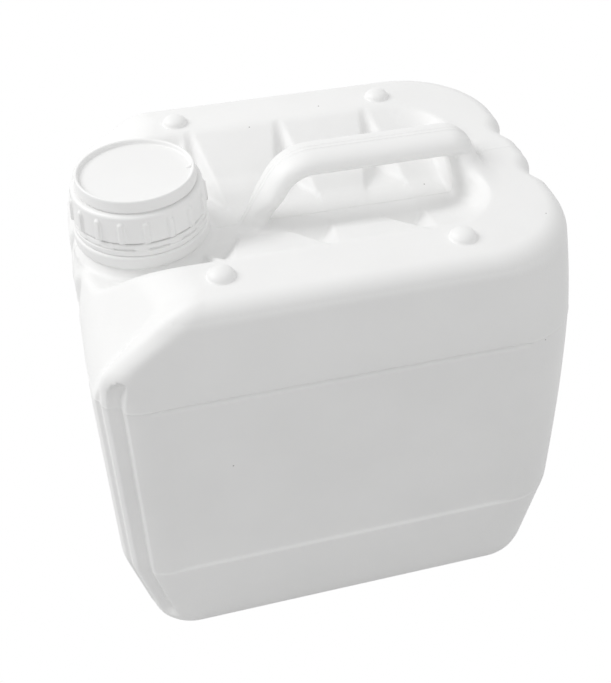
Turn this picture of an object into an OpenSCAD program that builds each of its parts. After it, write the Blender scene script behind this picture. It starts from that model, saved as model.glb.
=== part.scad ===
// Cubic jug: a stackable jerry can of about five litres. One blown body with the
// carrying handle moulded in, a screw cap with its sealing wad, and the ring that
// the cap leaves on the neck. Millimetres. The base stands on z = 0, the neck is
// at the -X end, and the mould parts on the plane y = 0.

/* [Body] */
// Overall length, end to end
can_l = 199.6; // [197:0.2:228]
// Overall width, front to back
can_w = 164; // [156:1:190]
// Height of the rim above the floor
rim_h = 175; // [168:1:220]
// Thickness of the blown wall
wall = 1.4; // [1:0.1:1.8]
// Rounding of the rim's outer edge along the front and the back
rim_r = 15; // [12:0.5:18]
// Rounding of the rim's outer edge at the handle end
rim_end_r = 10; // [8:0.5:12]
// Upright corner radius at the handle end, low down
corner_r = 23; // [20:0.5:26]
// How much larger that radius is at the rim
corner_grow = 20; // [16:0.5:24]
// Upright corner radius at the neck end
neck_corner_r = 20; // [19:0.5:23]
// Height at which the shoulder slope starts, at the corners
shoulder_h = 137; // [130:1:140]
// Rounding where the shoulder slope starts
shoulder_blend = 8; // [5:0.5:10]
// How far the shoulder slope runs in for each millimetre that it rises
shoulder_run = 0.95; // [0.85:0.01:1.05]
// How far the slope's start climbs for each millimetre towards the middle
shoulder_tilt = 0.3; // [0.26:0.01:0.34]
// Distance from the middle at which that climb begins
shoulder_w = 64; // [60:1:66]
// Highest start of the slope, at the neck
shoulder_top = 150.5; // [148:0.5:152]

/* [Base] */
// Height of the tapered band above the floor
band_h = 40; // [32:1:48]
// How far each end draws in from the band's top to the floor
band_draw = 9.5; // [6:0.5:12]
// Rounding between each end and the floor
base_end_r = 13; // [10:0.5:16]
// Rounding between the long sides and the floor
base_side_r = 3; // [2:0.25:4]
// Width of the flat ring that the can stands on
foot_w = 22; // [18:1:28]
// Depth of the hollow inside the standing ring
base_dish = 3; // [2:0.25:4]

/* [Label panel] */
// Depth of the flat panel in the front and in the back
panel_d = 0.8; // [0.5:0.1:1]
// Height of the panel's top edge, which is the filling line
panel_top = 135; // [120:1:150]
// Distance from the handle end to the panel
panel_end = 26; // [24:1:36]
// Distance from the neck end to the panel
panel_neck = 21; // [18:1:30]
// Corner radius of the panel
panel_r = 9; // [5:0.5:14]

/* [End flutes] */
// Depth of the flutes down both ends
flute_d = 3.5; // [2:0.25:4]
// Width of one flute
flute_w = 22; // [16:1:24]
// Distance of a flute from the middle
flute_y = 17; // [14:0.5:22]
// Depth of the groove down each corner at the neck end
groove_d = 4.2; // [3:0.1:4.6]
// Width of that groove round the corner, in degrees
groove_w = 25; // [22:1:28]
// Direction of that groove from the long side, in degrees
groove_at = 35; // [32:1:38]
// Depth of the shallow groove beside it
groove_side_d = 0.8; // [0.5:0.1:1.2]

/* [Well] */
// Depth of the well's floor below the rim
well_d = 19; // [15:0.5:24]
// Width of the rim along the front and the back
rim_side = 33.5; // [31:0.5:40]
// Width of the rim at the handle end
rim_end = 27.5; // [26:0.5:32]
// Corner radius of the well's end
well_r = 24; // [20:0.5:28]
// Half width of the well's flat floor
floor_w = 10; // [9:0.5:12]
// Height of the steeper foot of the sloping panels
panel_foot = 4.5; // [3:0.5:6]
// Half width of the floor at the top of that foot
panel_foot_w = 18; // [15:0.5:22]
// Distance between the notches in the long walls
notch_pitch = 40.3; // [38:0.1:44]
// Width of a notch at the rim
notch_top = 8.5; // [6:0.5:10]
// Width of a notch at the floor
notch_foot = 20; // [16:0.5:24]
// Distance of a notch's point from the middle, at the floor
notch_reach = 25; // [22:0.5:30]
// Half width of the floor around the neck
pocket_w = 30; // [29:0.5:33]

/* [Handle] */
// Width of the handle
grip_w = 19.5; // [16:0.5:20]
// Thickness of the handle
grip_h = 11.2; // [9:0.1:13]
// How far the handle stands above the rim
grip_rise = 13.3; // [9:0.1:16]
// Distance from the neck's axis to the start of the front bend
grip_start = 71.7; // [68:0.1:76]
// Bend radius at the front leg
grip_r = 16.5; // [12:0.5:20]
// Slope of the front leg
grip_slope = 60; // [52:1:68]
// Bend radius at the back root
root_r = 6.5; // [6:0.5:9]
// Slope of the back root
root_slope = 72; // [65:1:78]
// Distance of the back bend from the well's end
root_in = 10; // [8:0.5:12]
// Depth of the trough behind the back root, below the rim
trough_d = 6; // [4:0.5:8]
// Width of that trough across the can
trough_w = 27; // [22:1:34]

/* [Bumps] */
// Distance between the bumps along the rim
bump_gap = 94.4; // [80:0.2:104]
// Distance from the middle notch to the middle between the bumps
bump_shift = 2.3; // [0:0.1:4]
// Distance of the bumps from the long sides
bump_in = 24; // [22:0.5:26]
// Width of a bump
bump_w = 11; // [9:0.5:14]
// Height of a bump
bump_h = 3.6; // [2:0.1:5]

/* [Neck] */
// Distance of the neck's axis from the end
neck_in = 31.9; // [31:0.1:34]
// Radius of the neck's foot, where it stands on the well's floor
foot_r = 28.8; // [28.4:0.1:29.4]
// Radius of the collar under the tamper ring
collar_r = 27.6; // [27.3:0.1:28.2]
// Height of the collar's top above the well's floor
collar_up = 10.3; // [8:0.1:14]
// Height of the collar
collar_h = 6; // [4:0.5:7]
// Outer radius of the neck
neck_r = 22; // [21.5:0.1:22.4]
// Radius of the mouth
mouth_r = 19.2; // [17:0.1:20]
// Height of the mouth above the collar
neck_h = 19.3; // [19:0.1:24]
// How far the retaining bead stands out
bead_out = 1.4; // [1:0.1:1.6]

/* [Cap] */
// Outer radius of the cap's skirt at its lower edge
skirt_r = 26.9; // [26.6:0.1:27.3]
// How much narrower the skirt is at its top
skirt_taper = 0.8; // [0.5:0.1:2]
// Outer radius of the smooth ring above the skirt
cap_top_r = 23.8; // [23.4:0.1:24.4]
// Height of that smooth ring
cap_top_h = 5.6; // [4:0.1:7]
// Thickness of the cap's top
cap_plate = 1.3; // [1:0.1:2]
// Height of the raised edge round the cap's top
cap_lip_h = 1.8; // [0.5:0.1:2]
// Width of that raised edge
cap_lip_w = 1.2; // [1:0.1:2.5]
// Number of grip ribs
rib_count = 17; // [12:1:30]
// Direction of the first rib, in degrees
rib_turn = 16; // [2:1:18]
// Width of a grip rib
rib_w = 2.4; // [1.5:0.1:3]
// How far a rib stands out
rib_out = 0.7; // [0.4:0.1:1]
// Distance of the ribs from the cap's lower edge
rib_up = 0.5; // [0.4:0.1:1]
// Play between the cap and the bead
cap_play = 0.35; // [0.3:0.05:0.5]

/* [Tamper ring] */
// Outer radius of the tamper ring
ring_r = 27; // [26:0.1:27.5]
// Height of the tamper ring
ring_h = 5.4; // [4.5:0.1:5.6]
// Number of slots in the ring
slot_count = 12; // [8:1:16]
// Length of a slot
slot_l = 9; // [6:0.5:10]
// Height of a slot
slot_h = 1.1; // [0.8:0.1:1.5]
// Gap between the ring and the cap
tear_gap = 0.6; // [0.4:0.1:0.8]

/* [Sealing wad] */
// Thickness of the sealing wad
wad_h = 1; // [0.6:0.1:1.4]
// Play of the wad in the cap and over the mouth
wad_play = 0.1; // [0.05:0.05:0.2]

/* [Hidden] */

half_l = can_l/2;
half_w = can_w/2;
neck_x = -half_l + neck_in;
floor_z = rim_h - well_d;
collar_top = floor_z + collar_up;
mouth_z = collar_top + neck_h;
bead_z = collar_top + ring_h + tear_gap/2;
bead_h = 2;
well_half = half_w - rim_side;
well_end = half_l - rim_end;
notch_mid = neck_x + 68;
grip_z = rim_h + grip_rise - grip_h/2;
skin_color = "white";
round_n = 64;

// How far cutting shapes run past what they cut
past = 5;
// Corner radius of the hollow under the base
dish_r = 10;
// Corner radius of the well at the top of the panels' steeper foot
foot_corner_r = 14;
// How far the handle's front leg and back root run down inside
leg_in = 27;
root_down = 20;
// Length of the trough behind the back root
trough_l = 8;
// How far the neck's foot runs down inside
neck_down = 14;
// Depth of the underside of a rib below the skirt's outside
rib_root = 2.2;

// Angles at which the corners are drawn, for the skin and for the cavity
wide_arc = [for (i = [0 : 8]) 90*i/8];
thin_arc = [0, 22, 45, 68, 90];
groove_arc = [0, 12, 22.5, 26.5, 30.5, 35, 39.5, 43.5, 47.5, 54, 60, 66, 74, 82, 90];
groove_thin = [0, 22.5, 29, 35, 41, 47.5, 60, 74, 90];

// Ramp that turns from level to a slope of one within b of u = 0
function soft_ramp(u, b) = u <= -b ? 0 : u >= b ? u : (u + b)*(u + b)/(4*b);

// Bump of height one and width w, smooth at both ends
function wave(u, w) = abs(u) >= w/2 ? 0 : (1 + cos(360*u/w))/2;

// Inset of a quarter round of radius r at a distance u before its end
function quarter(u, r) = u >= r ? 0 : r - sqrt(max(0, r*r - (r - u)*(r - u)));

// How far the rim's rounding has drawn in at height z, for a skin t inside
function rim_in(z, t) = quarter(rim_h - t - z, rim_r - t);

// How far each end has drawn in towards the floor
function base_in(z, t) = band_draw*max(0, 1 - z/band_h) + quarter(z - t, base_end_r);

function fluted(y) = flute_d*wave(abs(y) - flute_y, flute_w);

// End face at the handle end, for a given y
function handle_end(y, z, t) = half_l - t - quarter(rim_h - t - z, rim_end_r - t) - base_in(z, t) - fluted(y);

// Corner radius at the handle end, which grows towards the rim
function corner_at(z) = corner_r + corner_grow*pow(max(0, z - band_h)/(rim_h - band_h), 3);

// How far the shoulder slope has run in at the neck end
function slope_in(y, z, t) = shoulder_run*soft_ramp(z + 0.4*t - shoulder_h
    - min(shoulder_top - shoulder_h, shoulder_tilt*max(0, shoulder_w - abs(y))), shoulder_blend)
    + 0.35*rim_in(z, t);

// End face at the neck end: flutes below, the shoulder slope above
function neck_end(y, z, t) = -half_l + t + max(slope_in(y, z, t), fluted(y) + base_in(z, t));

// Grooves down a corner at the neck end, until the shoulder slope has passed them
function groove(a, z, t) = max(0, groove_d*wave(a - groove_at, groove_w)
    + groove_side_d*wave(a - groove_at - groove_w, groove_w)
    - slope_in(half_w, z, t)*sin(a));

// Half width of the block at height z
function side(z, t) = half_w - t - rim_in(z, t) - quarter(z - t, base_side_r);

function handle_corner(z, t, arc) =
    let (r = max(2, corner_at(z) - t - rim_in(z, t)), w = side(z, t), x = handle_end(half_w, z, t))
    [for (a = arc) [x - r + r*sin(a), -w + r - r*cos(a), z]];

function neck_corner(z, t, arc) =
    let (r = max(2, neck_corner_r - t - rim_in(z, t)), w = side(z, t), x = neck_end(half_w, z, t))
    [for (a = arc) let (g = r - min(r, groove(a, z, t)))
        [x + r - g*sin(a), -w + r - g*cos(a), z]];

function mirrored(ring) = [for (i = [len(ring) - 1 : -1 : 0]) [ring[i][0], -ring[i][1], ring[i][2]]];

// Outline of the block at height z, t inside its skin, anticlockwise from the front
function outline(z, t) =
    let (n = t > 0 ? 12 : 20,
         h = handle_corner(z, t, t > 0 ? thin_arc : wide_arc),
         c = neck_corner(z, t, t > 0 ? groove_thin : groove_arc),
         yh = h[len(h) - 1][1], yc = c[len(c) - 1][1])
    concat(h,
        [for (i = [1 : n - 1]) let (y = yh*(1 - 2*i/n)) [handle_end(y, z, t), y, z]],
        mirrored(h), mirrored([for (i = [len(c) - 1 : -1 : 0]) c[i]]),
        [for (i = [1 : n - 1]) let (y = -yc*(1 - 2*i/n)) [neck_end(y, z, t), y, z]],
        [for (i = [len(c) - 1 : -1 : 0]) c[i]]);

// Closed solid through a stack of rings that all have the same number of points
module skin(rings) {
    n = len(rings[0]);
    m = len(rings);
    polyhedron(
        points = [for (r = rings) each r],
        faces = concat(
            [[for (i = [0 : n - 1]) i]],
            [[for (i = [n - 1 : -1 : 0]) (m - 1)*n + i]],
            [for (k = [0 : m - 2]) for (i = [0 : n - 1]) let (j = (i + 1) % n)
                each [[k*n + i, (k + 1)*n + i, (k + 1)*n + j], [k*n + i, (k + 1)*n + j, k*n + j]]]),
        convexity = 10);
}

// Heights of the block's rings, closer together where it rounds
function heights(t) = concat(
    [for (f = t > 0 ? [0, 0.25, 1] : [0, 0.08, 0.25, 0.55, 1]) t + f*base_end_r],
    [band_h, shoulder_h - shoulder_blend],
    [for (f = [0.25 : 0.25 : 1]) shoulder_h + shoulder_blend*(2*f - 1)],
    [for (a = [0 : t > 0 ? 30 : 15 : 90]) rim_h - rim_r + (rim_r - t)*sin(a)]);

module block(t) {
    skin([for (z = heights(t)) outline(z, t)]);
}

// Shallow flat panel in the front and in the back
module label_panels(t) {
    l = can_l - panel_end - panel_neck;
    for (s = [-1, 1])
        translate([(panel_neck - panel_end)/2, s*(half_w - t - panel_d + 10), (panel_top + band_h)/2])
            rotate([90, 0, 0])
                linear_extrude(20, center = true)
                    offset(r = panel_r, $fn = 32)
                        square([l - 2*panel_r, panel_top - band_h - 2*panel_r], center = true);
}

// Hollow inside the ring that the can stands on
module base_hollow(t) {
    l = can_l - 2*(band_draw + base_end_r) - 2*foot_w + 2*t;
    w = can_w - 2*foot_w + 2*t;
    hull() {
        translate([0, 0, base_dish + t - 0.01]) linear_extrude(0.01)
            offset(r = dish_r, $fn = 32)
                square([l - 2*dish_r - 2*base_dish, w - 2*dish_r - 2*base_dish], center = true);
        translate([0, 0, t - 2]) linear_extrude(0.01)
            offset(r = dish_r, $fn = 32) square([l - 2*dish_r + 2, w - 2*dish_r + 2], center = true);
    }
}

// Outline of the well at one level: half width w, round end at x1
function well_ring(x0, x1, w, z, r) = let (q = min(w, r)) concat(
    [[x0, -w, z]],
    [for (i = [0 : 6]) let (a = -90 + 15*i) [x1 - r + r*cos(a), -w + q + q*sin(a), z]],
    [for (i = [0 : 6]) let (a = 15*i) [x1 - r + r*cos(a), w - q + q*sin(a), z]],
    [[x0, w, z]]);

// Well between the long walls, with panels that are steeper at their foot
module well(t) {
    x0 = neck_x + 20;
    grow = 2.2*t;
    skin([
        well_ring(x0, well_end - 5 + 0.5*t, floor_w + 0.25*t, floor_z - t, floor_w - 1),
        well_ring(x0, well_end - 2 + 0.8*t, panel_foot_w + 0.6*t, floor_z + panel_foot - t,
            foot_corner_r),
        well_ring(x0, well_end + t, well_half + grow, rim_h, well_r),
        well_ring(x0, well_end + t, well_half + grow, rim_h + past, well_r)]);
}

// One notch in a long wall, its point at y on the floor
module notch(t) {
    a = notch_top/2 + 0.5*t;
    b = notch_foot/2 + 0.8*t;
    hull() {
        translate([0, 0, rim_h]) linear_extrude(3)
            polygon([[-a, 0], [a, 0], [a/3, well_half + 1 + 1.5*t], [-a/3, well_half + 1 + 1.5*t]]);
        translate([0, 0, floor_z - t]) linear_extrude(0.01)
            polygon([[-b, 0], [b, 0], [b, floor_w], [0.6, notch_reach + t],
                [-0.6, notch_reach + t], [-b, floor_w]]);
    }
}

module notches(t) {
    for (k = [-1, 0, 1]) for (s = [0, 1])
        translate([notch_mid + k*notch_pitch, 0, 0]) mirror([0, s, 0]) notch(t);
}

// Hollow around the neck, open towards the shoulder slope
module pocket(t) {
    x1 = notch_mid - notch_pitch - 3 + t;
    top = well_half - 1 + 1.1*t;
    foot = pocket_w + 0.7*t;
    hull() {
        translate([-half_l - past, -top, rim_h]) cube([x1 + half_l + past, 2*top, 3]);
        translate([-half_l - past, -foot, floor_z - t]) cube([x1 - 2 + half_l + past, 2*foot, 0.01]);
    }
}

// Trough across the can between the handle's back root and the rim's end
module trough(t) {
    translate([well_end + trough_l/2 - 0.5, 0, rim_h])
        scale([trough_l/2 + t, trough_w/2 + t, trough_d + t]) sphere(1, $fn = t > 0 ? 16 : 24);
}

// Path of the handle in the plane y = 0, from the front leg's foot to the back root
function grip_path(foot, root) =
    let (x0 = neck_x + grip_start, x1 = well_end - root_in,
         zc = grip_z - grip_r, zd = grip_z - root_r)
    concat(
        [[x0 - grip_r*sin(grip_slope) - foot*cos(grip_slope), zc + grip_r*cos(grip_slope)
            - foot*sin(grip_slope), -grip_slope]],
        [for (i = [0 : 6]) let (a = grip_slope*(1 - i/6)) [x0 - grip_r*sin(a), zc + grip_r*cos(a), -a]],
        [for (i = [0 : 5]) let (a = root_slope*i/5) [x1 + root_r*sin(a), zd + root_r*cos(a), a]],
        [[x1 + root_r*sin(root_slope) + root*cos(root_slope), zd + root_r*cos(root_slope)
            - root*sin(root_slope), root_slope]]);

// Rounded section of the handle, t inside its skin, at one point of the path
function grip_ring(p, t) = [for (a = [0 : t > 0 ? 30 : 15 : 359]) let (
        c = cos(a), s = sin(a),
        u = (grip_w/2 - t)*sign(c)*pow(abs(c), 0.8),
        v = (grip_h/2 - t)*sign(s)*pow(abs(s), 0.8))
    [p[0] + v*sin(p[2]), u, p[1] + v*cos(p[2])]];

module grip(t) {
    skin([for (p = grip_path(leg_in - 2*t, root_down - t)) grip_ring(p, t)]);
}

// Bumps on the rim that key into the base of the can above
module bumps(t) {
    r = (bump_w*bump_w/4 + bump_h*bump_h)/(2*bump_h);
    for (sx = [-1, 1], sy = [-1, 1])
        translate([notch_mid + bump_shift + sx*bump_gap/2, sy*(half_w - bump_in), rim_h + bump_h - r])
            sphere(r - t, $fn = t > 0 ? 12 : 24);
}

// Neck with its foot, groove, collar and bead, turned about its axis
module neck_solid() {
    low = collar_top - collar_h;
    translate([neck_x, 0, 0]) rotate_extrude($fn = round_n)
        polygon([
            [0, floor_z - neck_down], [foot_r, floor_z - neck_down], [foot_r, floor_z],
            [collar_r - 1.6, low - 0.8], [collar_r - 1.6, low - 0.2], [collar_r, low],
            [collar_r, collar_top - 1], [collar_r - 1, collar_top],
            [neck_r, collar_top], [neck_r, bead_z + 0.3], [neck_r + bead_out, bead_z + 0.5],
            [neck_r, bead_z + bead_h], [neck_r, mouth_z - 0.6], [neck_r - 0.6, mouth_z], [0, mouth_z]]);
}

// Way through the neck into the body
module neck_hollow() {
    low = collar_top - collar_h;
    translate([neck_x, 0, 0]) rotate_extrude($fn = round_n)
        polygon([
            [0, floor_z - neck_down - 2], [foot_r - 1.5*wall, floor_z - neck_down - 2],
            [foot_r - 1.5*wall, floor_z - 2*wall],
            [mouth_r, low], [mouth_r, mouth_z + 1], [0, mouth_z + 1]]);
}

// The blown form without the neck, t inside its skin
module blown(t) {
    difference() {
        union() {
            difference() {
                block(t);
                label_panels(t);
                base_hollow(t);
                well(t);
                notches(t);
                pocket(t);
                trough(t);
            }
            grip(t);
            if (t == 0) neck_solid();
        }
        translate([-can_l, -can_w, t - 50]) cube([2*can_l, 2*can_w, 50]);
    }
    bumps(t);
}

module can_body() color(skin_color) difference() {
    blown(0);
    blown(wall);
    neck_hollow();
}

// Heights and radii inside the cap, taken from the neck
cap_low = bead_z + tear_gap/2;
wad_z = mouth_z + wad_play;
plate_z = wad_z + wad_h;
cap_z = plate_z + cap_plate + cap_lip_h;
skirt_z = cap_z - cap_top_h;
bore_low = neck_r + bead_out + cap_play;
bore_up = neck_r + 0.8;

module cap() color(skin_color) translate([neck_x, 0, 0]) {
    difference() {
        union() {
            rotate_extrude($fn = round_n) polygon([
                [0, cap_low], [skirt_r, cap_low], [skirt_r - skirt_taper, skirt_z - 0.8],
                [skirt_r - skirt_taper - 0.6, skirt_z],
                [cap_top_r, skirt_z], [cap_top_r, cap_z - 0.5], [cap_top_r - 0.5, cap_z], [0, cap_z]]);
            for (i = [0 : rib_count - 1]) rotate([0, 0, 360*i/rib_count + rib_turn])
                grip_rib();
        }
        translate([0, 0, cap_low - 1]) cylinder(h = bead_h + 4, r = bore_low, $fn = round_n);
        translate([0, 0, cap_low]) cylinder(h = plate_z - cap_low, r = bore_up, $fn = round_n);
        translate([0, 0, cap_z - cap_lip_h]) cylinder(h = past, r = cap_top_r - cap_lip_w, $fn = round_n);
    }
}

// One upright rib that follows the skirt's taper and dies into it at the top
module grip_rib() {
    h = skirt_z - cap_low;
    rotate([90, 0, 0]) linear_extrude(rib_w, center = true)
        polygon([
            [skirt_r - rib_root, cap_low + rib_up], [skirt_r + rib_out - 0.2, cap_low + rib_up],
            [skirt_r + rib_out, cap_low + rib_up + 0.5],
            [skirt_r + rib_out - skirt_taper*0.8, cap_low + h*0.8 - 1],
            [skirt_r - skirt_taper - 0.2, skirt_z - 1], [skirt_r - rib_root, skirt_z - 1]]);
}

module cap_liner() color("gainsboro") translate([neck_x, 0, wad_z])
    cylinder(h = wad_h - wad_play, r = bore_up - 2*wad_play, $fn = round_n);

module tamper_ring() color(skin_color) translate([neck_x, 0, collar_top]) difference() {
    cylinder(h = ring_h, r = ring_r, $fn = round_n);
    translate([0, 0, -1]) cylinder(h = ring_h + 2, r = neck_r + 0.3, $fn = round_n);
    for (i = [0 : slot_count - 1]) rotate([0, 0, 360*i/slot_count])
        translate([neck_r, -slot_l/2, ring_h/2]) cube([10, slot_l, slot_h]);
}

can_body();
cap();
cap_liner();
tamper_ring();
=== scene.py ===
import math

import bpy
import numpy as np
from mathutils import Matrix, Vector


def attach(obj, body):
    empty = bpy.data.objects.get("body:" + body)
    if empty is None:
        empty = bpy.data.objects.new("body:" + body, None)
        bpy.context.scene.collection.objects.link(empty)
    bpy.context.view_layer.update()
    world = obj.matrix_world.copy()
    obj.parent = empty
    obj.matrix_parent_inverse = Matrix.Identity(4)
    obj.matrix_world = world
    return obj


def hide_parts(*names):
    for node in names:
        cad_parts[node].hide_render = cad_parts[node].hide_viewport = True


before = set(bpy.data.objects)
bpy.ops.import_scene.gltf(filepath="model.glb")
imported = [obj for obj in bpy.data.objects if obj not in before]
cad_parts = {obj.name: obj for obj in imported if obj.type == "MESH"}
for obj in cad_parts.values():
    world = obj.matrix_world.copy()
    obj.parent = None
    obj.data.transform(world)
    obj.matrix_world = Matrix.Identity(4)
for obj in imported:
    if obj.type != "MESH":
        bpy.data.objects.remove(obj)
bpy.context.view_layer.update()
MM = 0.001

# ---------------------------------------------------------------- camera
# The photograph's view: the camera looks down on the can from the front.
PHOTO_W, PHOTO_H = 611, 683                      # pixels
FOCAL, CENTRE_X, CENTRE_Y = 1060.9, 330.0, 310.0  # pixels
SENSOR = 36.0
CAMERA_AT = Vector((-83.93, -366.78, 413.80))
R = Vector((0.96685, -0.25530, -0.00403)).normalized()
U = Vector((0.16574, 0.61551, 0.77050))
B = R.cross(U).normalized()
U = B.cross(R).normalized()
cam_data = bpy.data.cameras.new("camera")
cam_data.sensor_fit = "VERTICAL"
cam_data.sensor_height = SENSOR
cam_data.lens = FOCAL*SENSOR/PHOTO_H
cam_data.shift_x = (PHOTO_W/2 - CENTRE_X)/PHOTO_H
cam_data.shift_y = (CENTRE_Y - PHOTO_H/2)/PHOTO_H
cam_data.clip_start = 0.02
camera = bpy.data.objects.new("camera", cam_data)
bpy.context.scene.collection.objects.link(camera)
camera.matrix_world = Matrix.Translation(CAMERA_AT*MM) @ Matrix((R, U, B)).transposed().to_4x4()
bpy.context.scene.camera = camera
bpy.context.scene.view_settings.view_transform = "Standard"

# ---------------------------------------------------------------- sizes, in mm, as in the CAD
HALF_L, HALF_W, RIM = 99.8, 82.0, 175.0
NECK_X, FLOOR = -67.9, 156.0
WELL_END, WELL_HALF = 72.3, 48.5
NOTCH_MID, NOTCH_PITCH = 0.1, 40.3
GRIP_Z, GRIP_X0, GRIP_X1 = 182.7, 3.8, 62.3
COLLAR_TOP, MOUTH_Z = 166.3, 185.6
CAP_LOW, SKIRT_Z, CAP_Z = 172.3, 184.2, 189.8
PROUD = 0.5                              # room left for the parting line and the ridges
WALL = 1.4
RIM_ROUND, CORNER_ROUND = 8, 20.0        # roundings at the rim and of the upright corners at the neck end
FLUTE_Y, FLUTE_W, FLUTE_DEEP = 17, 22, 3.5   # two upright flutes in each end
BASE_Z = 40.0                            # below this the ends draw in to the base
FOOT_TOP, PANEL_TOP, LINE_Z = 40.2, 135.0, 135.3
BAR_OUT, BAR_IN, BAR_HALF = 5.6, 4.7, 9.75   # the handle's bar: up, down and sideways from its path
FRONT_BEND, FRONT_LEAN = 16.5, 60        # its front bend: radius and degrees
BACK_BEND, BACK_LEAN = 6.5, 72
BUMP_X, BUMP_Y = 47.2, 58                # the stacking bumps, from the notches' middle


# ---------------------------------------------------------------- the blown skin as a field
def smax(a, b, r):
    """Larger of two fields, with an edge rounded to about r."""
    h = np.clip(0.5 + (a - b)/(4*r), 0, 1)
    return b + (a - b)*h + 2*r*h*(1 - h)


def smin(a, b, r):
    """Smaller of two fields, blended in the same way."""
    return -smax(-a, -b, r)


def rmax(a, b, r):
    """Meet of two distance fields with a true round of radius r."""
    a, b = a + r, b + r
    return np.minimum(np.maximum(a, b), 0) + np.hypot(np.maximum(a, 0), np.maximum(b, 0)) - r


def rmin(a, b, r):
    """Union of two distance fields with a true fillet of radius r."""
    return -rmax(-a, -b, r)


def wave(u, w):
    """One smooth hump of height 1 and width w."""
    return np.where(np.abs(u) < w/2, 0.5 + 0.5*np.cos(2*math.pi*u/w), 0.0)


def step_up(u):
    """Smooth step from 0 to 1 while u goes from 0 to 1."""
    u = np.clip(u, 0, 1)
    return u*u*(3 - 2*u)


def soft_ramp(u, b):
    """Zero below, u above, with a soft bend of half width b."""
    return np.where(u <= -b, 0.0, np.where(u >= b, u, (u + b)**2/(4*b)))


def bell(u, w):
    """Bell curve of height 1."""
    return np.exp(-(u/w)**2)


def true_distance(f, x, y, z, *more):
    """A field divided by its slope, so that roundings come out in millimetres."""
    h = 0.05
    v = f(x, y, z, *more)
    g = np.sqrt(((f(x + h, y, z, *more) - v)/h)**2 + ((f(x, y + h, z, *more) - v)/h)**2
                + ((f(x, y, z + h, *more) - v)/h)**2)
    return v/np.clip(g, 0.3, 4.0)


def hull_planes(points):
    """The faces of a small convex solid, as outward normals and offsets."""
    p = np.array(points, float)
    mid = p.mean(axis=0)
    faces = []
    for i in range(len(p)):
        for j in range(i + 1, len(p)):
            for k in range(j + 1, len(p)):
                n = np.cross(p[j] - p[i], p[k] - p[i])
                size = np.linalg.norm(n)
                if size < 1e-6:
                    continue
                n = n/size
                if np.dot(n, mid - p[i]) > 0:
                    n = -n
                if np.all((p - p[i]) @ n < 1e-6):
                    face = (*(round(c, 5) for c in n), round(float(np.dot(n, p[i])), 4))
                    if face not in faces:
                        faces.append(face)
    return faces


def convex(faces, x, y, z, r):
    """Field of a convex solid from its faces, with edges rounded to about r."""
    f = None
    for nx, ny, nz, d in faces:
        v = nx*x + ny*y + nz*z - d
        f = v if f is None else smax(f, v, r)
    return f


def base_in(z):
    """How far the ends draw in towards the base."""
    return 9.5*soft_ramp(1 - z/BASE_Z, 0.06)


def flutes(ay):
    return FLUTE_DEEP*wave(ay - FLUTE_Y, FLUTE_W)


def back_corner(z):
    """Radius of the upright corners at the handle end, which grows towards the rim."""
    return 23 + 20*np.clip((z - BASE_Z)/136, 0, 1.1)**3


def end_run(y, z):
    """How far the neck end's face lies inside the overall length."""
    ay = np.abs(y)
    climb = np.minimum(13.5, 0.3*soft_ramp(64 - ay, 4)) + 7*step_up((ay - 62)/13)
    slope = 0.95*soft_ramp(z - 137.0 - climb, 9)
    return smax(slope, flutes(ay) + base_in(z), 0.6)


def lean(z):
    """How far the broad faces lean in above the level line, up to the rim."""
    return 4.5*np.clip((z - 136)/34, 0, 1)**1.4


def section(x, y, z):
    """Distance in plan from the outline of the block at one height."""
    ay = np.abs(y)
    handle_end = x - (HALF_L - PROUD - flutes(ay) - base_in(z))
    neck_end = PROUD - HALF_L + end_run(y, z) - x
    broad = ay - HALF_W + PROUD + lean(z)
    corner = CORNER_ROUND - 10.5*step_up((z - 139)/15) + 6.5*step_up((z - 155)/14)
    return np.maximum(rmax(neck_end, broad, corner), rmax(handle_end, broad, back_corner(z)))


def block(x, y, z):
    """The can's block with its rim and base rounded, and the grooves in its corners."""
    ay = np.abs(y)
    r = back_corner(z)
    u = np.maximum(np.abs(x) - (HALF_L - r), 0) + 0.01
    v = np.maximum(ay - (HALF_W - r), 0) + 0.01
    side = v*v/(u*u + v*v)
    side = np.where(x < 0, np.clip(side*1.4, 0, 1), side)
    f = rmax(true_distance(section, x, y, z), z - RIM, RIM_ROUND)
    f = rmax(f, -z, 13 - 10*side)
    # upright grooves in the corners at the neck end, with an arched top
    alpha = np.degrees(np.arctan2(end_run(y, z) - 79.3 - x, ay - 61.5 + lean(z)))
    off = (alpha - 35)/13
    depth = 2.9*wave(off, 2)*step_up((150.5 - 7*off*off - z)/4)
    depth = depth + 0.9*wave(alpha - 61, 15)*step_up((142 - z)/4)
    return f + depth*step_up((z - 4)/6)


def panel(x, z):
    """Share of the panel's depth at a point: crisp above and below, faded out at its sides,
    with a groove under the line."""
    across = step_up((77.5 - np.abs(x + 2.5))/9.0)
    tall = np.clip(0.5 + (PANEL_TOP - z)/0.7, 0, 1)*step_up((z - FOOT_TOP + 1)/1.5)
    return across*(tall + 1.7*bell(z - PANEL_TOP + 1, 0.9))


def well(x, y, z):
    """The sunk well round the handle, open towards the neck."""
    ay = np.abs(y)
    low = FLOOR + 0.5625*(ay - 10)
    high = FLOOR + 4.5 + 0.4754*(ay - 18)
    h = np.clip((z - FLOOR)/(RIM - FLOOR), -0.3, 1.3)
    side = (smin(low, high, 0.6) - z)*0.87
    edge = WELL_END - 5*np.clip(1 - h, 0, 1.5)**1.6
    r = 9 + 15*np.clip(h, 0, 1)
    w = np.where(z < FLOOR + 4.5, 10 + (z - FLOOR)/0.5625,
                 18 + (z - FLOOR - 4.5)/0.4754)
    plan = rmax(x - edge, (ay - w)*0.9, r)
    return np.maximum(smax(side, FLOOR - z, 1.2), smax(plan, FLOOR - z, 1.2))


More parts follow.
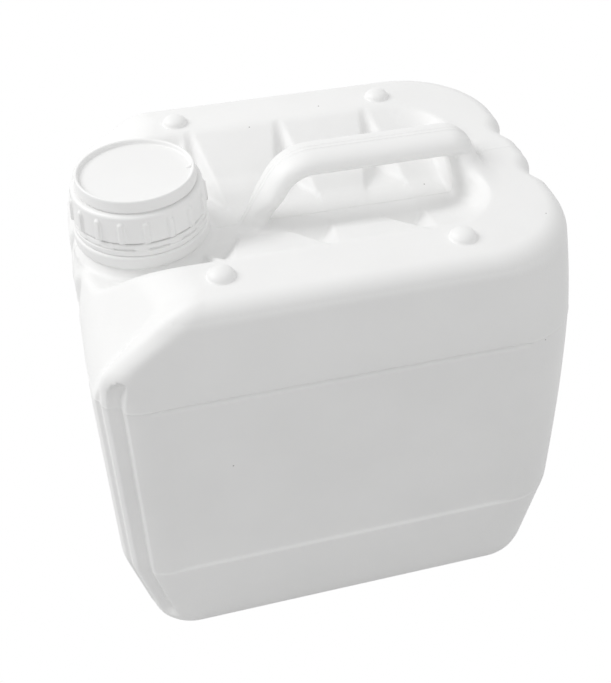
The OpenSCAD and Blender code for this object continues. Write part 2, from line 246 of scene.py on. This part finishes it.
# a notch in the well's side, and the pocket that clears the neck's platform to the end
NOTCH_FACES = hull_planes([
    (i*u, v, w) for i in (-1, 1) for u, v, w in (
        (4.25, 0, RIM), (1.4, 49.5, RIM), (4.25, 0, RIM + 8), (1.4, 49.5, RIM + 8),
        (10, 0, FLOOR), (10, 10, FLOOR), (0.6, 25, FLOOR))])
POCKET_FACES = hull_planes(
    [(u, i*47.5, w) for i in (-1, 1) for u in (-110, -43.2) for w in (RIM, RIM + 14)]
    + [(u, 30*i, FLOOR) for i in (-1, 1) for u in (-110, -45.2)])


def grip_path():
    """The bar's path in the plane y = 0, as (x, z): front leg, bend, bend, back leg."""
    pts = []
    s, c = math.sin(math.radians(FRONT_LEAN)), math.cos(math.radians(FRONT_LEAN))
    zc = GRIP_Z - FRONT_BEND
    for i in range(10):
        k = 26*(1 - i/10)
        pts.append((GRIP_X0 - FRONT_BEND*s - k*c, zc + FRONT_BEND*c - k*s))
    for i in range(13):
        a = math.radians(FRONT_LEAN*(1 - i/12))
        pts.append((GRIP_X0 - FRONT_BEND*math.sin(a), zc + FRONT_BEND*math.cos(a)))
    zc = GRIP_Z - BACK_BEND
    for i in range(13):
        a = math.radians(BACK_LEAN*i/12)
        pts.append((GRIP_X1 + BACK_BEND*math.sin(a), zc + BACK_BEND*math.cos(a)))
    s, c = math.sin(math.radians(BACK_LEAN)), math.cos(math.radians(BACK_LEAN))
    for i in range(1, 6):
        k = 20*i/5
        pts.append((GRIP_X1 + BACK_BEND*s + k*c, zc + BACK_BEND*c - k*s))
    return np.array(pts)


PATH = grip_path()


def grip(x, y, z):
    """The handle: a rounded bar swept along its path in the plane y = 0."""
    best = np.full(x.shape, 1e9)
    side = np.zeros(x.shape)
    for (ax, az), (bx, bz) in zip(PATH[:-1], PATH[1:]):
        dx, dz = bx - ax, bz - az
        n = math.hypot(dx, dz)
        t = np.clip(((x - ax)*dx + (z - az)*dz)/(n*n), 0, 1)
        px, pz = x - ax - t*dx, z - az - t*dz
        d = np.hypot(px, pz)
        up = (-dz*px + dx*pz)/n
        near = d < best
        best = np.where(near, d, best)
        side = np.where(near, up, side)
    ridge = 0.32*(bell(y - 1.1, 0.42) + bell(y + 1.1, 0.42))*np.clip(side - 2.0, 0, 1)
    ridge = ridge + 0.3*bell(y, 0.5)*np.clip(-side - 2.0, 0, 1)
    u = best/np.where(side > 0, BAR_OUT, BAR_IN)
    # narrower below and at the front root, wider at the back root
    half = BAR_HALF + 0.3*np.clip(side, -5, 0) - 3.6*step_up((171 - z)/11)*(x < 30)
    half = half + 1.2*np.clip(181 - z, 0, 20)*step_up((x - 58)/7)
    v = np.abs(y)/half
    f = ((u**2.4 + v**2.4)**(1/2.4) - 1)*6.4
    return np.where(f < 12, f, 12) - ridge


def only_where(mask, f, x, y, z, other=12.0):
    """A field worked out only where mask is true, and a constant elsewhere."""
    out = np.full(x.shape, other)
    if mask.any():
        out[mask] = f(x[mask], y[mask], z[mask])
    return out


def trough(x, y, z):
    """Short trough across the can between the handle's back root and the rim's end."""
    u, v, w = (x - WELL_END - 3.5)/4.0, y/13.5, (z - RIM)/6.0
    return (np.sqrt(u*u + v*v + w*w) - 1)*4.2


def foot(x, y, z):
    """The neck's foot, a cone on the floor of the well."""
    r = np.hypot(x - NECK_X, y)
    cone = 0.78*(r - 28.8 + np.maximum(z - FLOOR, 0)*(28.8 - 26.0)/3.5)
    return smax(np.maximum(cone, 147 - z), z - 160.4, 0.3)


def skin(x, y, z):
    """The whole outer skin without the neck: below zero inside."""
    ay = np.abs(y)
    broad = ay > 70
    f = block(x, y, z)
    band = step_up((FOOT_TOP - z)/1.4)*step_up((z - 2)/5)*step_up((92 - np.abs(x))/10)
    f = f + 0.8*panel(x, z)*broad - 0.4*band*broad
    # a thin ridge round the corners and the ends where the mould's inserts meet
    f = f - 0.22*bell(z - LINE_Z, 0.5)*np.clip((np.abs(x - 2.3) - 66)/6, 0, 1)
    pit = only_where((z > 148) & (ay < 56), lambda a, b, c: true_distance(well, a, b, c), x, y, z)
    f = smax(f, -pit, 0.6)
    near = (z > 150) & (ay < 56)
    for k in (-1, 0, 1):
        mid = NOTCH_MID + k*NOTCH_PITCH
        cut = only_where(near & (np.abs(x - mid) < 14),
                         lambda a, b, c: convex(NOTCH_FACES, a - mid, np.abs(b), c - 0.5, 0.8),
                         x, y, z)
        f = smax(f, -cut, 0.8)
    pocket = only_where(near & (x < -36), lambda a, b, c: convex(POCKET_FACES, a, b, c, 1.5),
                        x, y, z)
    f = smax(f, -pocket, 1.2)
    f = smax(f, -trough(x, y, z), 1.0)
    f = rmin(f, foot(x, y, z), 1.2)
    # the base is hollow inside its standing ring
    dish = smax(rmax(np.abs(x) - 55.3, ay - 60, 10), z - 3, 0.5)
    f = smax(f, -dish, 0.8)
    # parting line of the mould
    f = f - 0.26*bell(y, 0.45)*np.clip((z - 1)/3, 0, 1)
    bar = only_where((z > 146) & (ay < 34) & (x > -40) & (x < 92), grip, x, y, z)
    back = np.clip((x - 60)/5, 0, 1)*np.clip((180 - z)/6, 0, 1)
    return smin(f, bar, 1.2 + 2.6*back)


# ---------------------------------------------------------------- a field made into a mesh
def axis(marks):
    """Grid lines from (end, step) marks, the first mark being the start."""
    out = [marks[0][0]]
    for end, step in marks[1:]:
        n = max(1, int(round((end - out[-1])/step)))
        start = out[-1]
        out += [start + (end - start)*(i + 1)/n for i in range(n)]
    return np.array(out)


def field_mesh(f, xs, ys, zs, sharpen=3):
    """Surface of f = 0 on a grid of uneven spacing: one vertex a cell, drawn onto the surface.

    Returns the vertices, the normals from the field's slope, and the quads.
    """
    nx, ny, nz = len(xs), len(ys), len(zs)
    v = np.empty((nx, ny, nz), np.float32)
    yy, zz = np.meshgrid(ys, zs, indexing="ij")
    step = 24
    for i in range(0, nx, step):
        part = xs[i:i + step]
        x = np.repeat(part, ny*nz).reshape(len(part), ny, nz)
        y = np.broadcast_to(yy, x.shape)
        z = np.broadcast_to(zz, x.shape)
        v[i:i + step] = f(x, y, z)
    inside = v < 0
    count = np.zeros((nx - 1, ny - 1, nz - 1), np.int8)
    for a in (0, 1):
        for b in (0, 1):
            for c in (0, 1):
                count += inside[a:nx - 1 + a, b:ny - 1 + b, c:nz - 1 + c]
    cells = np.argwhere((count > 0) & (count < 8))
    index = np.full(count.shape, -1, np.int64)
    index[cells[:, 0], cells[:, 1], cells[:, 2]] = np.arange(len(cells))
    total = np.zeros((len(cells), 3))
    hits = np.zeros(len(cells))
    grids = (xs, ys, zs)
    for ax in range(3):
        o1, o2 = [k for k in range(3) if k != ax]
        for a in (0, 1):
            for b in (0, 1):
                lo = cells.copy()
                lo[:, o1] += a
                lo[:, o2] += b
                hi = lo.copy()
                hi[:, ax] += 1
                va = v[lo[:, 0], lo[:, 1], lo[:, 2]].astype(float)
                vb = v[hi[:, 0], hi[:, 1], hi[:, 2]].astype(float)
                cross = (va < 0) != (vb < 0)
                t = np.where(cross, va/np.where(cross, va - vb, 1), 0)
                p = np.stack([grids[k][lo[:, k]] for k in range(3)], axis=1)
                p[:, ax] += t*(grids[ax][hi[:, ax]] - grids[ax][lo[:, ax]])
                total += p*cross[:, None]
                hits += cross
    verts = total/hits[:, None]
    lowc = np.stack([grids[k][cells[:, k]] for k in range(3)], axis=1)
    highc = np.stack([grids[k][cells[:, k] + 1] for k in range(3)], axis=1)

    def slope(p, h=0.04):
        moves = h*np.eye(3)
        g = [f(*(p + d).T) - f(*(p - d).T) for d in moves]
        return np.stack(g, axis=1)/(2*h)

    for _ in range(sharpen):
        val = f(verts[:, 0], verts[:, 1], verts[:, 2])
        g = slope(verts)
        verts = verts - (val/np.maximum((g*g).sum(axis=1), 0.05))[:, None]*g
        verts = np.clip(verts, lowc, highc)
    normals = slope(verts, 0.12)
    normals /= np.maximum(np.linalg.norm(normals, axis=1), 1e-9)[:, None]
    quads = []
    for ax in range(3):
        o1, o2 = (ax + 1) % 3, (ax + 2) % 3
        lo = [slice(None)]*3
        hi = [slice(None)]*3
        lo[ax], hi[ax] = slice(0, -1), slice(1, None)
        for o in (o1, o2):
            lo[o] = slice(1, -1)
            hi[o] = slice(1, -1)
        sa, sb = inside[tuple(lo)], inside[tuple(hi)]
        for flip in (False, True):
            e = np.argwhere(sa & ~sb if not flip else ~sa & sb)
            if not len(e):
                continue
            e[:, o1] += 1
            e[:, o2] += 1
            corner = []
            for da, db in ((0, 0), (1, 0), (1, 1), (0, 1)):
                c = e.copy()
                c[:, o1] -= 1 - da
                c[:, o2] -= 1 - db
                corner.append(index[c[:, 0], c[:, 1], c[:, 2]])
            q = np.stack(corner, axis=1)
            quads.append(q[:, ::-1] if flip else q)
    return verts, normals, np.concatenate(quads)


def add_mesh(name, verts, faces, normals=None, smooth=True):
    """A piece from points in millimetres."""
    mesh = bpy.data.meshes.new(name)
    mesh.from_pydata((np.asarray(verts)*MM).tolist(), [], [list(f) for f in faces])
    mesh.validate()
    if smooth:
        mesh.shade_smooth()
    if normals is not None:
        mesh.normals_split_custom_set_from_vertices(normals.tolist())
    obj = bpy.data.objects.new(name, mesh)
    bpy.context.scene.collection.objects.link(obj)
    return obj


def drop_faces(verts, normals, quads, gone):
    """Leaves out the faces for which gone(centres) is true, and the vertices that no face uses."""
    mid = verts[quads].mean(axis=1)
    quads = quads[~gone(mid)]
    used = np.unique(quads)
    place = np.full(len(verts), -1)
    place[used] = np.arange(len(used))
    return verts[used], normals[used], place[quads]


def under_neck(p, radius, height):
    return (np.hypot(p[:, 0] - NECK_X, p[:, 1]) < radius) & (p[:, 2] > height)


# the grid is fine at the parting line, at the foot band's top and at the line, and coarse on flats
fine = 1.33
xs = axis([(-103, 1), (-80, fine*0.8), (84, fine), (103, fine)])
ys = axis([(-84, 1), (-1.6, fine), (1.6, 0.32), (84, fine)])
zs = axis([(-2, 1), (14, fine), (37.8, 4.2), (41.8, 0.6), (130, 4.6), (132.4, 1.2), (136.6, 0.4),
           (190, fine)])
verts, normals, quads = drop_faces(*field_mesh(skin, xs, ys, zs),
                                   lambda p: under_neck(p, 24, 159))
can = add_mesh("can_skin", verts, quads, normals)

# the inside of the wall, open under the neck and left out inside the rim, where nothing sees it
coarse = 3.6
inner = [axis([(-lim, 1), (lim, coarse)]) for lim in (101, 83)]
inner.append(axis([(-1, 1), (140, coarse), (178, 2.6)]))
verts, normals, quads = drop_faces(*field_mesh(lambda x, y, z: skin(x, y, z) + WALL, *inner),
                                   lambda p: under_neck(p, 22, 152) | (p[:, 2] > 172))
inside = add_mesh("can_inside", verts, quads[:, ::-1], -normals)


# ---------------------------------------------------------------- neck, cap, ring and wad
def turned(n, rows, radius, height):
    """Closed surface round the neck's axis: radius(row, angle) and height(row, angle) give every point."""
    a = np.arange(n)*2*math.pi/n
    r = np.stack([radius(k, a) for k in range(rows)])
    h = np.stack([height(k, a) + 0*a for k in range(rows)])
    v = np.stack([NECK_X + r*np.cos(a), r*np.sin(a), h], axis=2).reshape(-1, 3)
    k, i = np.meshgrid(np.arange(rows), np.arange(n), indexing="ij")
    k2, j = (k + 1) % rows, (i + 1) % n
    q = np.stack([k*n + i, k*n + j, k2*n + j, k2*n + i], axis=2).reshape(-1, 4)
    return v, q


def between(marks, step):
    """Points along a profile of (radius, height, ...) marks, no further apart than step."""
    out = []
    for a, b in zip(marks, marks[1:] + marks[:1]):
        n = max(1, int(math.ceil(math.dist(a[:2], b[:2])/step)))
        out += [tuple(u + (w - u)*i/n for u, w in zip(a, b)) for i in range(n)]
    return out


# stacking bumps on the rim: four domes with a small fillet at the foot
dome_rows = [(5.9, -0.35), (5.8, 0.0), (5.55, 0.12), (5.3, 0.4)]
for t in range(6, 90, 7):
    dome_rows.append((5.2*math.cos(math.radians(t)), 0.55 + 2.9*math.sin(math.radians(t))))
dome_rows.append((0.02, 3.45))
dome_v, dome_q = [], []
n = 40
for bx in (NOTCH_MID + 2.3 - BUMP_X, NOTCH_MID + 2.3 + BUMP_X):
    for by in (-BUMP_Y, BUMP_Y):
        start = len(dome_v)
        for r, h in dome_rows:
            dome_v += [(bx + r*math.cos(2*math.pi*i/n), by + r*math.sin(2*math.pi*i/n), RIM + h)
                       for i in range(n)]
        for k in range(len(dome_rows) - 1):
            for i in range(n):
                j = (i + 1) % n
                dome_q.append((start + k*n + i, start + k*n + j, start + k*n + n + j, start + k*n + n + i))
domes = add_mesh("rim_bumps", dome_v, dome_q)

# the neck: groove under the collar, collar, bead, thread and mouth, with the bore inside
THREAD_LOW, THREAD_TURNS, LEAD = COLLAR_TOP + 9.2, 1.6, 6.0
neck_marks = [(19.2, 156.5), (25.6, 156.5), (26.0, 159.8), (26.0, 160.4), (26.7, 160.5), (27.3, 160.8),
              (27.6, 161.5), (27.6, 165.3), (27.3, 165.9), (26.6, COLLAR_TOP), (22.4, COLLAR_TOP),
              (22.0, 166.7), (22.0, 171.9), (23.2, 172.3), (23.3, 172.7), (22.9, 173.4), (22.0, 174.2),
              (22.0, 185.0), (21.8, 185.4), (21.4, MOUTH_Z), (19.8, MOUTH_Z), (19.4, 185.4),
              (19.2, 185.0)]
rows = between(neck_marks, 0.7)


def neck_radius(k, a):
    r, z = rows[k]
    out = np.full(a.shape, float(r))
    if r > 21.5 and THREAD_LOW - 2 < z < MOUTH_Z - 1:
        best = np.zeros(a.shape)
        for turn in range(3):
            along = turn + a/(2*math.pi)
            d = z - THREAD_LOW - LEAD*along
            fade = step_up(along/0.12)*step_up((THREAD_TURNS - along)/0.12)
            best = np.maximum(best, 0.62*fade*step_up((1.15 - np.abs(d))/0.7))
        out = out + best
    return out


n_turn = 204
v, q = turned(n_turn, len(rows), neck_radius, lambda k, a: rows[k][1])
neck = add_mesh("neck", v, q)

# the cap: skirt with arched grip ribs, groove, smooth ring with its raised edge, recessed top, bore
RIBS, RIB_TURN = 17, math.radians(16)
# marks of (radius, height, share of the ribs)
BORE_TOP, CAP_FACE = 186.8, CAP_Z - 1.8
cap_marks = [(23.75, CAP_LOW, 0), (26.5, CAP_LOW, 0), (26.9, CAP_LOW + 0.4, 1),
             (26.15, SKIRT_Z - 1.1, 1), (25.9, SKIRT_Z - 0.55, 0), (25.4, SKIRT_Z - 0.15, 0),
             (24.6, SKIRT_Z, 0), (23.5, SKIRT_Z, 0), (23.3, SKIRT_Z + 0.15, 0),
             (23.3, SKIRT_Z + 0.45, 0), (23.5, SKIRT_Z + 0.6, 0), (24.0, SKIRT_Z + 0.65, 0),
             (24.15, SKIRT_Z + 0.9, 0), (23.8, CAP_Z - 0.8, 0), (23.65, CAP_Z - 0.25, 0),
             (23.35, CAP_Z, 0), (22.95, CAP_Z, 0), (22.65, CAP_Z - 0.15, 0), (22.4, CAP_Z - 0.5, 0),
             (22.2, CAP_Z - 1.5, 0), (21.8, CAP_FACE, 0), (0.3, CAP_FACE, 0), (0.02, CAP_FACE, 0),
             (0.02, BORE_TOP, 0), (0.3, BORE_TOP, 0), (22.8, BORE_TOP, 0), (22.8, 176.5, 0),
             (23.75, 175.6, 0)]
crows = between(cap_marks, 0.45)
# the flat discs need few rings
crows = [c for i, c in enumerate(crows) if c[0] < 0.31 or c[0] > 20 or i % 4 == 0]


def cap_radius(k, a):
    r, z, ribbed = crows[k]
    out = np.full(a.shape, float(r))
    if ribbed > 0.01 or (r > 26 and z < SKIRT_Z - 2):
        pitch = 2*math.pi/RIBS
        s = ((a - RIB_TURN + pitch/2) % pitch - pitch/2)*26.5
        top = SKIRT_Z - 2.6
        up = np.maximum(z - (top - 1.35), 0)
        d = np.hypot(s, up) - 1.5
        out = out + 0.95*step_up(-d/0.6)*step_up((z - CAP_LOW - 0.1)/0.5)
    return out


n_cap = RIBS*26
v, q = turned(n_cap, len(crows), cap_radius, lambda k, a: crows[k][1])
cap = add_mesh("screw_cap", v, q)

# a small moulded mark inside the cap's raised edge
mark_at = math.radians(-4)
mark_pts = []
for rr, w, h in ((22.5, 0.9, -0.2), (22.5, 0.9, -1.9), (20.2, 0.35, -1.9), (20.4, 0.25, -1.5)):
    for side_w in (-w, w):
        mark_pts.append((NECK_X + rr*math.cos(mark_at) - side_w*math.sin(mark_at),
                         rr*math.sin(mark_at) + side_w*math.cos(mark_at), CAP_Z + h))
MARK_FACES = [(0, 1, 7, 6), (2, 4, 5, 3), (0, 6, 4, 2), (1, 3, 5, 7), (0, 2, 3, 1), (6, 7, 5, 4)]
mark = add_mesh("cap_mark", mark_pts, MARK_FACES, smooth=False)

# the tamper ring: a band in two steps, with slots and the stubs of its broken bridges
SLOTS, SLOT_Z = 12, 169.3
ring_marks = [(22.4, 166.35), (26.6, 166.35), (27.0, 166.8), (27.0, 168.6), (26.75, 168.85),
              (26.75, 169.2), (26.9, 169.4), (26.9, 170.1), (26.75, 170.4), (26.75, 170.9),
              (26.55, 171.3), (26.1, 171.65), (23.9, 171.65), (23.2, 170.9), (22.4, 169.6)]
rrows = between(ring_marks, 0.3)


def ring_radius(k, a):
    r, z = rrows[k]
    out = np.full(a.shape, float(r))
    if r > 26.4:
        pitch = 2*math.pi/SLOTS
        u = (a + 0.1) % pitch
        s = (u - pitch/2)*27
        hole = step_up((4.3 - np.abs(s))/0.35)*step_up((0.5 - np.abs(z - SLOT_Z))/0.25)
        out = out - 1.3*hole
    return out


def ring_height(k, a):
    r, z = rrows[k]
    if z > 171.2 and r > 24.5:
        pitch = 2*math.pi/SLOTS
        s = ((a + 0.1) % pitch - 0.02)*27
        return z + 0.35*step_up((0.8 - np.abs(s - 0.8))/0.4)
    return z + 0*a


v, q = turned(SLOTS*(30), len(rrows), ring_radius, ring_height)
ring = add_mesh("ring", v, q)

# the sealing wad, a disc under the cap's top
wad_rows = between([(0.02, 185.7), (22.3, 185.7), (22.6, 185.9), (22.6, 186.4), (22.3, 186.6),
                    (0.02, 186.6)], 3.0)
v, q = turned(96, len(wad_rows), lambda k, a: np.full(a.shape, float(wad_rows[k][0])),
              lambda k, a: wad_rows[k][1])
wad = add_mesh("wad", v, q)

for obj, body, slot, node in (
        (can, "can", "body", "can_body"), (inside, "can", "body", None),
        (domes, "can", "body", None), (neck, "can", "body", None), (cap, "cap", "cap", "cap"),
        (mark, "cap", "cap", None), (ring, "can", "ring", "tamper_ring"),
        (wad, "wad", "wad", "cap_liner")):
    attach(obj, body)
    if node:
        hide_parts(node)


# ---------------------------------------------------------------- materials
def plastic(name, colour, rough, grain, depth):
    """White moulded polyethylene: faint cloudiness, fine skin texture, uneven gloss and specks.

    grain is the skin texture's scale, and depth its bump in metres.
    """
    mat = bpy.data.materials.new(name)
    mat.use_nodes = True
    nt = mat.node_tree
    b = nt.nodes["Principled BSDF"]
    co = nt.nodes.new("ShaderNodeTexCoord")

    def noise(scale, detail):
        t = nt.nodes.new("ShaderNodeTexNoise")
        t.inputs["Scale"].default_value = scale
        t.inputs["Detail"].default_value = detail
        nt.links.new(co.outputs["Object"], t.inputs["Vector"])
        return t

    def span(source, lo, hi, first, last):
        m = nt.nodes.new("ShaderNodeMapRange")
        for key, val in (("From Min", lo), ("From Max", hi), ("To Min", first), ("To Max", last)):
            m.inputs[key].default_value = val
        nt.links.new(source, m.inputs["Value"])
        return m.outputs["Result"]

    cloud = noise(28, 3)
    specks = nt.nodes.new("ShaderNodeTexVoronoi")
    specks.inputs["Scale"].default_value = 46
    nt.links.new(co.outputs["Object"], specks.inputs["Vector"])
    tint = nt.nodes.new("ShaderNodeMix")
    tint.data_type = "RGBA"
    tint.inputs["A"].default_value = (*[0.975*c for c in colour], 1)
    tint.inputs["B"].default_value = (*colour, 1)
    nt.links.new(span(cloud.outputs["Fac"], 0.35, 0.65, 0, 1), tint.inputs["Factor"])
    dirt = nt.nodes.new("ShaderNodeMix")
    dirt.data_type = "RGBA"
    dirt.inputs["A"].default_value = (0.32, 0.31, 0.3, 1)
    nt.links.new(tint.outputs["Result"], dirt.inputs["B"])
    nt.links.new(span(specks.outputs["Distance"], 0.012, 0.02, 0, 1), dirt.inputs["Factor"])
    nt.links.new(dirt.outputs["Result"], b.inputs["Base Color"])
    gloss = noise(11, 2)
    nt.links.new(span(gloss.outputs["Fac"], 0.3, 0.7, rough - 0.04, rough + 0.05), b.inputs["Roughness"])
    skin_tex = noise(grain, 4)
    wide = noise(grain/9, 2)
    total = nt.nodes.new("ShaderNodeMath")
    total.operation = "ADD"
    nt.links.new(skin_tex.outputs["Fac"], total.inputs[0])
    nt.links.new(wide.outputs["Fac"], total.inputs[1])
    bump = nt.nodes.new("ShaderNodeBump")
    bump.inputs["Strength"].default_value = 0.35
    bump.inputs["Distance"].default_value = depth
    nt.links.new(total.outputs[0], bump.inputs["Height"])
    nt.links.new(bump.outputs["Normal"], b.inputs["Normal"])
    return mat


body_mat = plastic("can_white", (0.91, 0.91, 0.905), 0.46, 900, 0.00012)
cap_mat = plastic("cap_white", (0.92, 0.92, 0.915), 0.36, 600, 0.00006)
ring_mat = plastic("ring_white", (0.92, 0.92, 0.915), 0.38, 600, 0.00006)
wad_mat = plastic("wad_foam", (0.87, 0.87, 0.85), 0.7, 1500, 0.0003)
for o, m in ((can, body_mat), (inside, body_mat), (domes, body_mat), (neck, body_mat),
             (cap, cap_mat), (mark, cap_mat), (ring, ring_mat), (wad, wad_mat)):
    o.data.materials.append(m)

# ---------------------------------------------------------------- stage and light
floor_mesh = bpy.data.meshes.new("floor")
floor_mesh.from_pydata([(-4, -4, 0), (4, -4, 0), (4, 4, 0), (-4, 4, 0)], [], [(0, 1, 2, 3)])
floor = bpy.data.objects.new("floor", floor_mesh)
bpy.context.scene.collection.objects.link(floor)


def camera_white(nt):
    """One for the camera's rays and for reflections, which see plain white, and nothing for other rays."""
    lp = nt.nodes.new("ShaderNodeLightPath")
    m1 = nt.nodes.new("ShaderNodeMath")
    m1.operation = "MAXIMUM"
    nt.links.new(lp.outputs["Is Camera Ray"], m1.inputs[0])
    nt.links.new(lp.outputs["Is Glossy Ray"], m1.inputs[1])
    m2 = nt.nodes.new("ShaderNodeMath")
    m2.operation = "MAXIMUM"
    nt.links.new(m1.outputs[0], m2.inputs[0])
    nt.links.new(lp.outputs["Is Transmission Ray"], m2.inputs[1])
    return m2


fm = bpy.data.materials.new("floor_white")
fm.use_nodes = True
nt = fm.node_tree
fb = nt.nodes["Principled BSDF"]
fb.inputs["Base Color"].default_value = (0.52, 0.52, 0.52, 1)   # what the can sees of the floor
fb.inputs["Roughness"].default_value = 0.9
emit = nt.nodes.new("ShaderNodeEmission")
emit.inputs["Color"].default_value = (1, 1, 1, 1)
mix = nt.nodes.new("ShaderNodeMixShader")
nt.links.new(camera_white(nt).outputs[0], mix.inputs[0])
nt.links.new(fb.outputs[0], mix.inputs[1])
nt.links.new(emit.outputs[0], mix.inputs[2])
nt.links.new(mix.outputs[0], nt.nodes["Material Output"].inputs["Surface"])
floor_mesh.materials.append(fm)

world = bpy.data.worlds.new("world")
bpy.context.scene.world = world
world.use_nodes = True
wt = world.node_tree
bg = wt.nodes["Background"]
bg.inputs["Color"].default_value = (1, 1, 1, 1)
bg.inputs["Strength"].default_value = 0.69
white_bg = wt.nodes.new("ShaderNodeBackground")
white_bg.inputs["Color"].default_value = (1, 1, 1, 1)
white_bg.inputs["Strength"].default_value = 1.0
wmix = wt.nodes.new("ShaderNodeMixShader")
wt.links.new(camera_white(wt).outputs[0], wmix.inputs[0])
wt.links.new(bg.outputs[0], wmix.inputs[1])
wt.links.new(white_bg.outputs[0], wmix.inputs[2])
wt.links.new(wmix.outputs[0], wt.nodes["World Output"].inputs["Surface"])


def lamp(name, place, target, size, power):
    """A square area light in metres and watts."""
    d = bpy.data.lights.new(name, "AREA")
    d.shape = "SQUARE"
    d.size = size
    d.energy = power
    o = bpy.data.objects.new(name, d)
    bpy.context.scene.collection.objects.link(o)
    o.location = place
    o.rotation_euler = (Vector(target) - Vector(place)).to_track_quat("-Z", "Y").to_euler()


lamp("key", (-0.9, 0.35, 1.05), (0, 0, 0.1), 0.8, 7.6)
lamp("fill", (0.2, -1.2, 0.9), (0, 0, 0.1), 1.0, 0.8)
